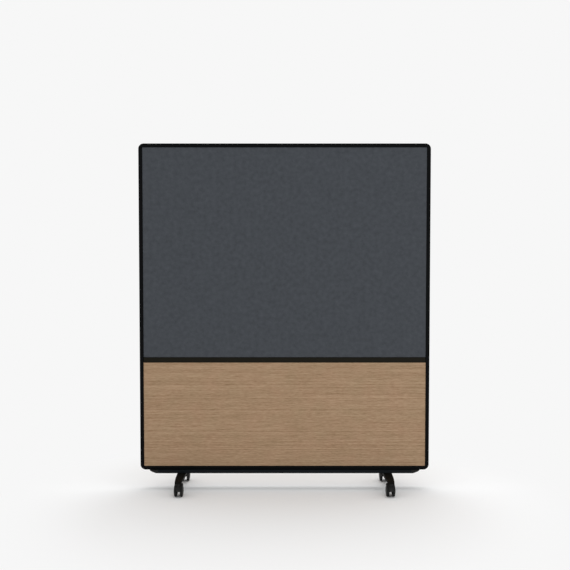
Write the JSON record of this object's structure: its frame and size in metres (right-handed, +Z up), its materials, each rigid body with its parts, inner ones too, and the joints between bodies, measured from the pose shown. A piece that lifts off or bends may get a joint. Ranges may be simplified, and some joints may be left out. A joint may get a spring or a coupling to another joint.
{
  "type": "room divider on wheels",
  "caption": "Free-standing room divider with a slim black frame, charcoal fabric above, light oak board below and twin-wheel castors under front-to-back feet.",
  "frame": {"origin": "on the floor, under the middle of the frame and of the two feet", "axes": "+X across the width to the right as seen from the front, +Y from front to back, +Z up"},
  "size_m": [1.2, 0.284, 1.4335],
  "materials": {
    "frame_black": "satin black powder coat on aluminium extrusions and cast corners",
    "cast_black": "fine-textured black powder coat on cast aluminium",
    "charcoal_fabric": "fine mottled charcoal weave",
    "acoustic_felt": "pressed grey felt, under the fabric",
    "light_oak": "matt light oak with level grain",
    "core_board": "raw fibreboard, inside",
    "black_nylon": "moulded black nylon",
    "soft_tread": "soft black tread",
    "zinc_steel": "zinc-plated steel"
  },
  "bodies": {
    "root": {"frame_top_rail": "frame_black", "frame_bottom_rail": "frame_black", "frame_left_stile": "frame_black", "frame_right_stile": "frame_black", "corner_top_left": "frame_black", "corner_top_right": "frame_black", "corner_bottom_left": "frame_black", "corner_bottom_right": "frame_black", "corner_screws": "zinc_steel", "mid_rail": "frame_black", "mid_rail_brackets": "frame_black", "mid_rail_screws": "zinc_steel", "upper_core": "core_board", "upper_front_pad": "acoustic_felt", "upper_rear_pad": "acoustic_felt", "upper_front_fabric": "charcoal_fabric", "upper_rear_fabric": "charcoal_fabric", "lower_core": "core_board", "lower_front_board": "light_oak", "lower_rear_board": "light_oak", "base_rail": "frame_black", "base_rail_screws": "zinc_steel", "base_end_cap_left": "black_nylon", "base_end_cap_right": "black_nylon", "foot_left": "cast_black", "foot_right": "cast_black", "foot_screws": "zinc_steel", "foot_nut_plates": "zinc_steel", "castor_front_left_stem": "zinc_steel", "castor_front_right_stem": "zinc_steel", "castor_rear_left_stem": "zinc_steel", "castor_rear_right_stem": "zinc_steel"},
    "front_left_swivel": {"castor_front_left_housing": "black_nylon", "castor_front_left_axle": "zinc_steel"},
    "front_left_roller_left": {"castor_front_left_wheel_left": "black_nylon", "castor_front_left_tyre_left": "soft_tread"},
    "front_left_roller_right": {"castor_front_left_wheel_right": "black_nylon", "castor_front_left_tyre_right": "soft_tread"},
    "front_right_swivel": {"castor_front_right_housing": "black_nylon", "castor_front_right_axle": "zinc_steel"},
    "front_right_roller_left": {"castor_front_right_wheel_left": "black_nylon", "castor_front_right_tyre_left": "soft_tread"},
    "front_right_roller_right": {"castor_front_right_wheel_right": "black_nylon", "castor_front_right_tyre_right": "soft_tread"},
    "rear_left_swivel": {"castor_rear_left_housing": "black_nylon", "castor_rear_left_axle": "zinc_steel"},
    "rear_left_roller_left": {"castor_rear_left_wheel_left": "black_nylon", "castor_rear_left_tyre_left": "soft_tread"},
    "rear_left_roller_right": {"castor_rear_left_wheel_right": "black_nylon", "castor_rear_left_tyre_right": "soft_tread"},
    "rear_left_lever": {"castor_rear_left_brake": "black_nylon"},
    "rear_right_swivel": {"castor_rear_right_housing": "black_nylon", "castor_rear_right_axle": "zinc_steel"},
    "rear_right_roller_left": {"castor_rear_right_wheel_left": "black_nylon", "castor_rear_right_tyre_left": "soft_tread"},
    "rear_right_roller_right": {"castor_rear_right_wheel_right": "black_nylon", "castor_rear_right_tyre_right": "soft_tread"},
    "rear_right_lever": {"castor_rear_right_brake": "black_nylon"}
  },
  "joints": [
    {"name": "front_left_castor_turn", "type": "hinge", "parent": "root", "child": "front_left_swivel", "pos_m": [-0.4285, -0.124, 0.045], "axis": [0, 0, 1], "continuous": true},
    {"name": "front_left_left_wheel_roll", "type": "hinge", "parent": "front_left_swivel", "child": "front_left_roller_left", "pos_m": [-0.4415, -0.112, 0.025], "axis": [1, 0, 0], "continuous": true},
    {"name": "front_left_right_wheel_roll", "type": "hinge", "parent": "front_left_swivel", "child": "front_left_roller_right", "pos_m": [-0.4155, -0.112, 0.025], "axis": [1, 0, 0], "continuous": true},
    {"name": "front_right_castor_turn", "type": "hinge", "parent": "root", "child": "front_right_swivel", "pos_m": [0.4285, -0.124, 0.045], "axis": [0, 0, 1], "continuous": true},
    {"name": "front_right_left_wheel_roll", "type": "hinge", "parent": "front_right_swivel", "child": "front_right_roller_left", "pos_m": [0.4155, -0.112, 0.025], "axis": [1, 0, 0], "continuous": true},
    {"name": "front_right_right_wheel_roll", "type": "hinge", "parent": "front_right_swivel", "child": "front_right_roller_right", "pos_m": [0.4415, -0.112, 0.025], "axis": [1, 0, 0], "continuous": true},
    {"name": "rear_left_castor_turn", "type": "hinge", "parent": "root", "child": "rear_left_swivel", "pos_m": [-0.4285, 0.124, 0.045], "axis": [0, 0, 1], "continuous": true},
    {"name": "rear_left_left_wheel_roll", "type": "hinge", "parent": "rear_left_swivel", "child": "rear_left_roller_left", "pos_m": [-0.4415, 0.112, 0.025], "axis": [1, 0, 0], "continuous": true},
    {"name": "rear_left_right_wheel_roll", "type": "hinge", "parent": "rear_left_swivel", "child": "rear_left_roller_right", "pos_m": [-0.4155, 0.112, 0.025], "axis": [1, 0, 0], "continuous": true},
    {"name": "rear_left_brake_press", "type": "hinge", "parent": "rear_left_swivel", "child": "rear_left_lever", "pos_m": [-0.4285, 0.10092, 0.03918], "axis": [1, 0, 0], "range_deg": [0, 14]},
    {"name": "rear_right_castor_turn", "type": "hinge", "parent": "root", "child": "rear_right_swivel", "pos_m": [0.4285, 0.124, 0.045], "axis": [0, 0, 1], "continuous": true},
    {"name": "rear_right_left_wheel_roll", "type": "hinge", "parent": "rear_right_swivel", "child": "rear_right_roller_left", "pos_m": [0.4155, 0.112, 0.025], "axis": [1, 0, 0], "continuous": true},
    {"name": "rear_right_right_wheel_roll", "type": "hinge", "parent": "rear_right_swivel", "child": "rear_right_roller_right", "pos_m": [0.4415, 0.112, 0.025], "axis": [1, 0, 0], "continuous": true},
    {"name": "rear_right_brake_press", "type": "hinge", "parent": "rear_right_swivel", "child": "rear_right_lever", "pos_m": [0.4285, 0.10092, 0.03918], "axis": [1, 0, 0], "range_deg": [0, 14]}
  ]
}
